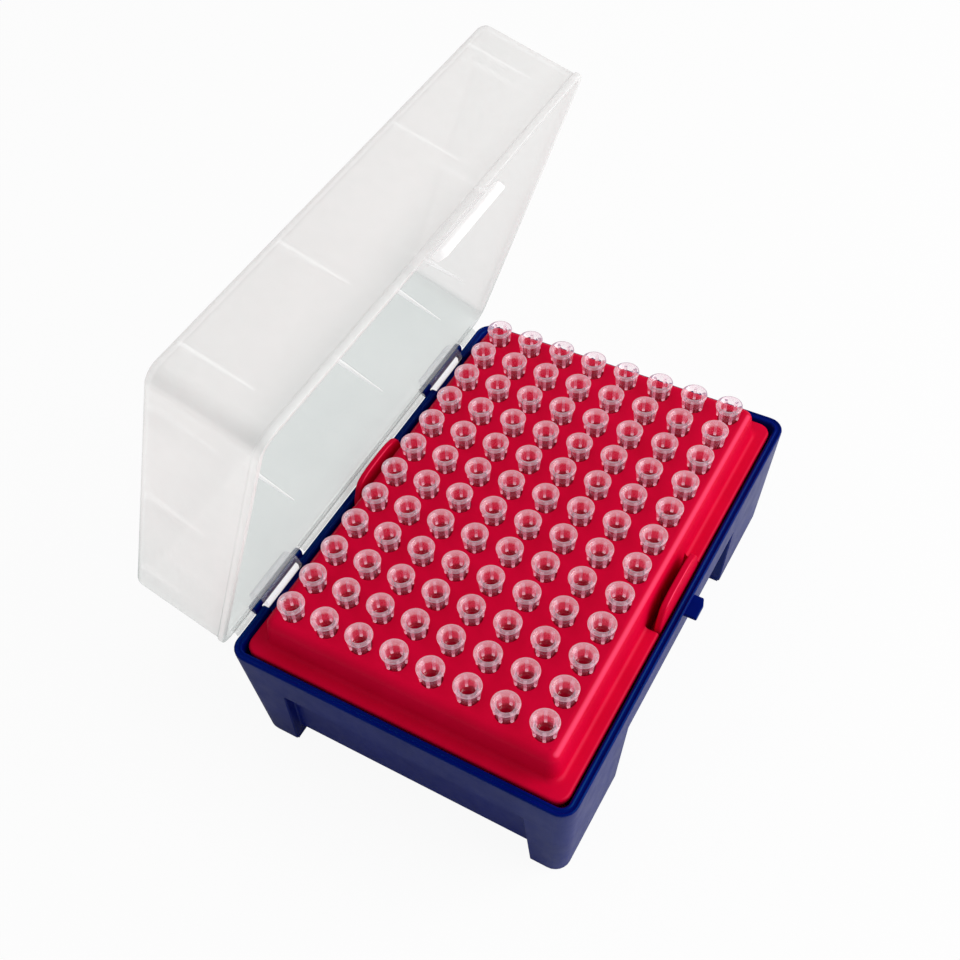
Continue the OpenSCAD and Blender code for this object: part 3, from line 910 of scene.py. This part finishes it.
def hinge_lip():
    """A thin lip that closes the gap to the base's rim between and beyond the hinge stations."""
    section = [
        (-0.95, 0.9), (-0.95, -0.1), (-0.78, -0.75), (-0.46, -1.30),
        (-0.05, -1.15), (-0.42, -0.6), (-0.55, -0.1), (-0.55, 0.9),
    ]
    b = Build()
    for x0, x1 in ((-57.0, -50.2), (-29.2, 29.2), (50.2, 57.0)):
        b.grow(prism([(PIN_Y + y, PIN_Z + z) for y, z in section], x0, x1))
    return b


FRONT_RIBS = (-52.0, -21.4, 20.2, 52.0)
BACK_RIBS = (-51.9, -20.3, 21.45, 52.05)
END_RIBS = (-31.2, 0.9, 33.6)
RIB_LOW, RIB_OUT = 8.2, 1.4


def lid_ribs():
    """The stiffening ribs on the insides of the lid's four walls."""
    b = Build()
    for side in (-1, 1):
        for at in END_RIBS:
            rib_block(b, LID_X - LID_T, LID_END_LEAN, lambda w, t, z, side=side, at=at: (side * w, at + t, z))
    for side, places in ((-1, FRONT_RIBS), (1, BACK_RIBS)):
        for at in places:
            rib_block(b, LID_Y - LID_T, LID_LEAN, lambda w, t, z, side=side, at=at: (at + t, side * w, z))
    return b


def rib_block(b, wall, lean, place):
    """A rib that grows deeper and thicker towards the lid's top.
    place turns a distance from the middle, a place along the wall and a height to a point."""
    rows = []
    high = LID_H - LID_T + 0.05
    for k in range(9):
        t = k / 8
        z = RIB_LOW + (high - RIB_LOW) * t
        face = wall - lean * z / LID_H
        out, half = 0.1 + (RIB_OUT - 0.1) * t, 0.22 + 0.2 * t
        section = [
            (0.05, half), (-out + 0.15, half), (-out, half - 0.15),
            (-out, 0.15 - half), (-out + 0.15, -half), (0.05, -half),
        ]
        rows.append([place(face + w, side, LID_Z + z) for w, side in section])
    made = b.rows(rows)
    b.face(*made[0])
    b.face(*made[-1])


def clip_piece():
    """The C-shaped clips that turn on the pins."""
    b = Build()
    inner, opens, half_gap, count = PIN_R + 0.07, -35, 38, 32
    start, sweep = opens + half_gap, 360 - 2 * half_gap
    angles = [math.radians(start + sweep * k / count) for k in range(count + 1)]
    ring = [on_circle(PIN_Y, PIN_Z, CLIP_R, a) for a in angles]
    ring += [on_circle(PIN_Y, PIN_Z, inner, a) for a in reversed(angles)]
    for s in (-1, 1):
        x0, x1 = s * HINGE_X - CLIP_L / 2, s * HINGE_X + CLIP_L / 2
        a = b.add([(x0, y, z) for y, z in ring])
        c = b.add([(x1, y, z) for y, z in ring])
        b.strip(a, c)
        last = len(ring) - 1
        for i in range(count):
            b.face(a[i], a[last - i], a[last - 1 - i], a[i + 1])
            b.face(c[i], c[i + 1], c[last - 1 - i], c[last - i])
    return b


# The tongue from its root to its tip: y and height of the upper face, y and height of the lower, half width
TONGUE = (
    (-43.15, 1.9, -43.15, 0.4, 15.0), (-43.7, 1.7, -43.7, 0.1, 13.9), (-44.4, 1.2, -44.3, -0.3, 13.3),
    (-45.3, 0.6, -45.3, -1.0, 13.0), (-47.9, -1.35, -47.9, -3.0, 12.6), (-49.4, -2.3, -49.2, -4.0, 12.3),
    (-50.7, -3.0, -50.3, -4.7, 11.9), (-51.2, -3.3, -50.8, -4.95, 11.4), (-51.4, -3.5, -51.1, -4.95, 10.6),
)
WINDOW_ROW, WINDOW_HALF = 3, 4.7
# The tongue's thick tip takes the ribs' plastic, whose glow is a painted highlight.
THICK_TIP_Y = -49.0  # past here the tongue is thick and milky


def tongue_piece():
    """The latch tongue: a wide lip that flares out from the front of the rim, with a window for the catch."""
    b = Build()
    shares = [k / 6 for k in range(7)]
    tops, lows = [], []
    for y, z, low_y, low_z, half in TONGUE:
        right = [WINDOW_HALF + (half - WINDOW_HALF) * t for t in shares]
        xs = [-x for x in reversed(right)] + [WINDOW_HALF * k / 3 for k in (-2, -1, 0, 1, 2)] + right
        tops.append(b.add([(x, y, LID_Z + z) for x in xs]))
        lows.append(b.add([(x, low_y, LID_Z + low_z) for x in xs]))
    first, last = len(shares) - 1, len(shares) + 5
    for r in range(len(TONGUE) - 1):
        gap = range(first, last) if r == WINDOW_ROW else ()
        for level in (tops, lows):
            b.strip(level[r], level[r + 1], closed=False, keep=lambda i: i not in gap)
    for r in (WINDOW_ROW, WINDOW_ROW + 1):
        b.strip(tops[r][first:last + 1], lows[r][first:last + 1], closed=False)
    for c in (first, last):
        upper, lower = [[level[r][c] for r in (WINDOW_ROW, WINDOW_ROW + 1)] for level in (tops, lows)]
        b.strip(upper, lower, closed=False)
    b.strip(tops[-1], lows[-1], closed=False)
    b.strip(tops[0], lows[0], closed=False)
    for c in (0, -1):
        b.strip([r[c] for r in tops], [r[c] for r in lows], closed=False)
    b.second = {i for i, f in enumerate(b.faces) if all(b.points[v][1] < THICK_TIP_Y for v in f)}
    return b


def lid_piece(build, name, material, nodes=(), other=None):
    return build.object(name, material, "lid", "lid_plastic", nodes, move=opened, other=other)


lid_piece(lid_shell(), "lid_shell", lid_clear, ("lid",))
lid_piece(lid_ribs(), "lid_ribs", lid_rib)
lid_piece(hinge_lip(), "lid_hinge_lip", lid_clear)
lid_piece(clip_piece(), "lid_clips", clip_clear)
bevel(lid_piece(tongue_piece(), "latch_tongue", tongue_clear, other=lid_rib), 0.35, 3, 50)


# ---------------------------------------------------------------- tips

# Outside of a tip from its point up, then its inside from the mouth down: radius, height above the deck
TIP_OUTSIDE = (
    (0.24, -33.4), (0.45, -33.4), (0.9, -24.0), (1.5, -14.0), (2.1, -2.0), (2.28, -0.6), (2.28, 2.9),
    (2.6, 3.25), (3.0, 3.5), (3.13, 3.7), (3.17, 4.0), (3.12, 4.25), (2.98, 4.38), (2.8, 4.4),
)
TIP_INSIDE = (
    (2.45, 4.38), (2.3, 4.25), (1.98, 3.55), (1.86, 3.3), (1.82, 3.0), (1.80, 0.6), (1.72, 0.35),
    (1.45, 0.2), (1.38, 0.0), (1.1, -13.0), (0.24, -33.4),
)


def turned(degrees):
    """A move that turns points about the Z axis."""
    c, s = math.cos(math.radians(degrees)), math.sin(math.radians(degrees))
    return lambda p: np.c_[p[:, 0] * c - p[:, 1] * s, p[:, 0] * s + p[:, 1] * c, p[:, 2]]


def tip_build(turn, around=40):
    """A tip at the origin, with its six ribs turned by an angle in degrees."""
    b = Build()
    rows = []
    for r, z in TIP_OUTSIDE + TIP_INSIDE:
        ring = [on_circle(0, 0, r, 2 * math.pi * k / around) for k in range(around)]
        rows.append([(x, y, DECK_Z + z) for x, y in ring])
    b.rows(rows)
    for k in range(6):
        b.grow(tip_rib(), turned(turn + 60 * k), second=True)
    return b


# A rib from its foot on the deck up to the ring: radius, height above the deck
TIP_RIB = (
    (2.2, 0.0), (2.45, 0.0), (2.6, 0.08), (2.68, 0.25), (2.72, 0.6), (2.9, 2.2), (3.04, 3.45), (2.2, 3.45),
)
# Across the rib: share of half its thickness, and how much its edge is rounded off there
RIB_ACROSS = ((-1.0, 0.12), (-0.8, 0.03), (-0.4, 0.0), (0.4, 0.0), (0.8, 0.03), (1.0, 0.12))
RIB_HALF, RIB_ROOT = 0.34, 2.2


def tip_rib():
    """A rib on the +X side of a tip, rounded where it stands on the deck."""
    b = Build()
    rows = []
    for share, shrink in RIB_ACROSS:
        rows.append([
            (max(RIB_ROOT, r - shrink), RIB_HALF * share, DECK_Z + (max(z, shrink) if z < 1 else z))
            for r, z in TIP_RIB
        ])
    made = b.rows(rows)
    b.face(*made[0])
    b.face(*made[-1])
    return b


def tip_turn(row, column):
    """How far a tip is turned about its own axis, in degrees, as the solids are."""
    return (row * 37 + (column + 1) * 23) % 60


def moved_to(cx, cy):
    return lambda p: p + [cx, cy, 0]


for column in range(COLUMNS):
    b = Build()
    for row in range(ROWS):
        b.grow(tip_build(tip_turn(row, column)), moved_to(*tip_centre(column, row)))
    name, node_name = f"tips_column_{column + 1}", f"tips_{column + 1}"
    b.object(name, tip_clear, "box", "tip_plastic", (node_name,), smooth=40, other=tip_rib_clear)


# ---------------------------------------------------------------- room, light and camera

FLOOR_GLOW, FLOOR_REACH = 0.93, 3.0
SKY, SKY_SHINE = 0.45, 0.07
KEY_AT, KEY_AIM, KEY_SIZE, KEY_WATTS = (0.30, -0.75, 0.56), (0, 0, 0.03), (0.8, 0.8), 7.5
# Where the photograph's camera stood, fitted to the tips' 9 mm grid
CAMERA_AT, CAMERA_TURN = (-0.15952, -0.09427, 0.26285), (38.2997, 5.3481, -58.5683)
CAMERA_LENS, CAMERA_SHIFT = 45.124, (0.10120, 0.05381)


def floor_piece():
    """A pale floor: white as seen, with only a faint shadow, and paper to every other ray."""
    mat, tree = new_material("floor")
    out = node(tree, "ShaderNodeOutputMaterial")
    paper = node(tree, "ShaderNodeBsdfPrincipled")
    paper.inputs["Base Color"].default_value = (0.9, 0.9, 0.9, 1)
    paper.inputs["Roughness"].default_value = 0.9
    glow = node(tree, "ShaderNodeEmission")
    glow.inputs["Color"].default_value = (1, 1, 1, 1)
    glow.inputs["Strength"].default_value = 1.0
    share = node(tree, "ShaderNodeMath", operation="MULTIPLY")
    share.inputs[1].default_value = FLOOR_GLOW
    link(tree, flagged(tree, "Is Camera Ray", "Is Transmission Ray"), 0, share, 0)
    link(tree, mixed(tree, share, paper, glow), "Shader", out, "Surface")
    mat.cycles.emission_sampling = "NONE"
    mesh = bpy.data.meshes.new("floor")
    corners = [(x * FLOOR_REACH, y * FLOOR_REACH, 0) for x, y in ((-1, -1), (1, -1), (1, 1), (-1, 1))]
    mesh.from_pydata(corners, [], [(0, 1, 2, 3)])
    mesh.materials.append(mat)
    floor = bpy.data.objects.new("floor", mesh)
    bpy.context.scene.collection.objects.link(floor)


def soft_world():
    """White where the camera looks, and a dimmer soft light for everything else."""
    world = bpy.data.worlds.new("studio")
    bpy.context.scene.world = world
    world.use_nodes = True
    tree = world.node_tree
    tree.nodes.clear()
    out = node(tree, "ShaderNodeOutputWorld")
    shades = []
    for strength in (SKY, SKY_SHINE, 1.0):
        shade = node(tree, "ShaderNodeBackground")
        shade.inputs["Color"].default_value = (1, 1, 1, 1)
        shade.inputs["Strength"].default_value = strength
        shades.append(shade)
    soft, shine, bright = shades
    shiny, seen = flagged(tree, "Is Glossy Ray"), flagged(tree, "Is Camera Ray", "Is Transmission Ray")
    light = mixed(tree, seen, mixed(tree, shiny, soft, shine), bright)
    link(tree, light, "Shader", out, "Surface")
    world.cycles.sampling_method = "NONE"


def lamp(name, at, aim, size, watts, colour=(1, 1, 1)):
    """A rectangular lamp that looks at a point."""
    data = bpy.data.lights.new(name, "AREA")
    data.shape = "RECTANGLE"
    data.size, data.size_y = size
    data.energy = watts
    data.color = colour
    obj = bpy.data.objects.new(name, data)
    obj.location = Vector(at)
    obj.rotation_euler = (Vector(aim) - Vector(at)).to_track_quat("-Z", "Y").to_euler()
    bpy.context.scene.collection.objects.link(obj)


def camera():
    """The camera, at the photograph's place and viewing angle."""
    data = bpy.data.cameras.new("camera")
    data.lens = CAMERA_LENS
    data.sensor_width = 36
    data.sensor_fit = "HORIZONTAL"
    data.shift_x, data.shift_y = CAMERA_SHIFT
    data.clip_start, data.clip_end = 0.01, 20
    obj = bpy.data.objects.new("camera", data)
    obj.location = CAMERA_AT
    obj.rotation_euler = [math.radians(a) for a in CAMERA_TURN]
    bpy.context.scene.collection.objects.link(obj)
    bpy.context.scene.camera = obj


floor_piece()
soft_world()
lamp("key", KEY_AT, KEY_AIM, KEY_SIZE, KEY_WATTS)
camera()
bpy.context.scene.view_settings.view_transform = "Standard"
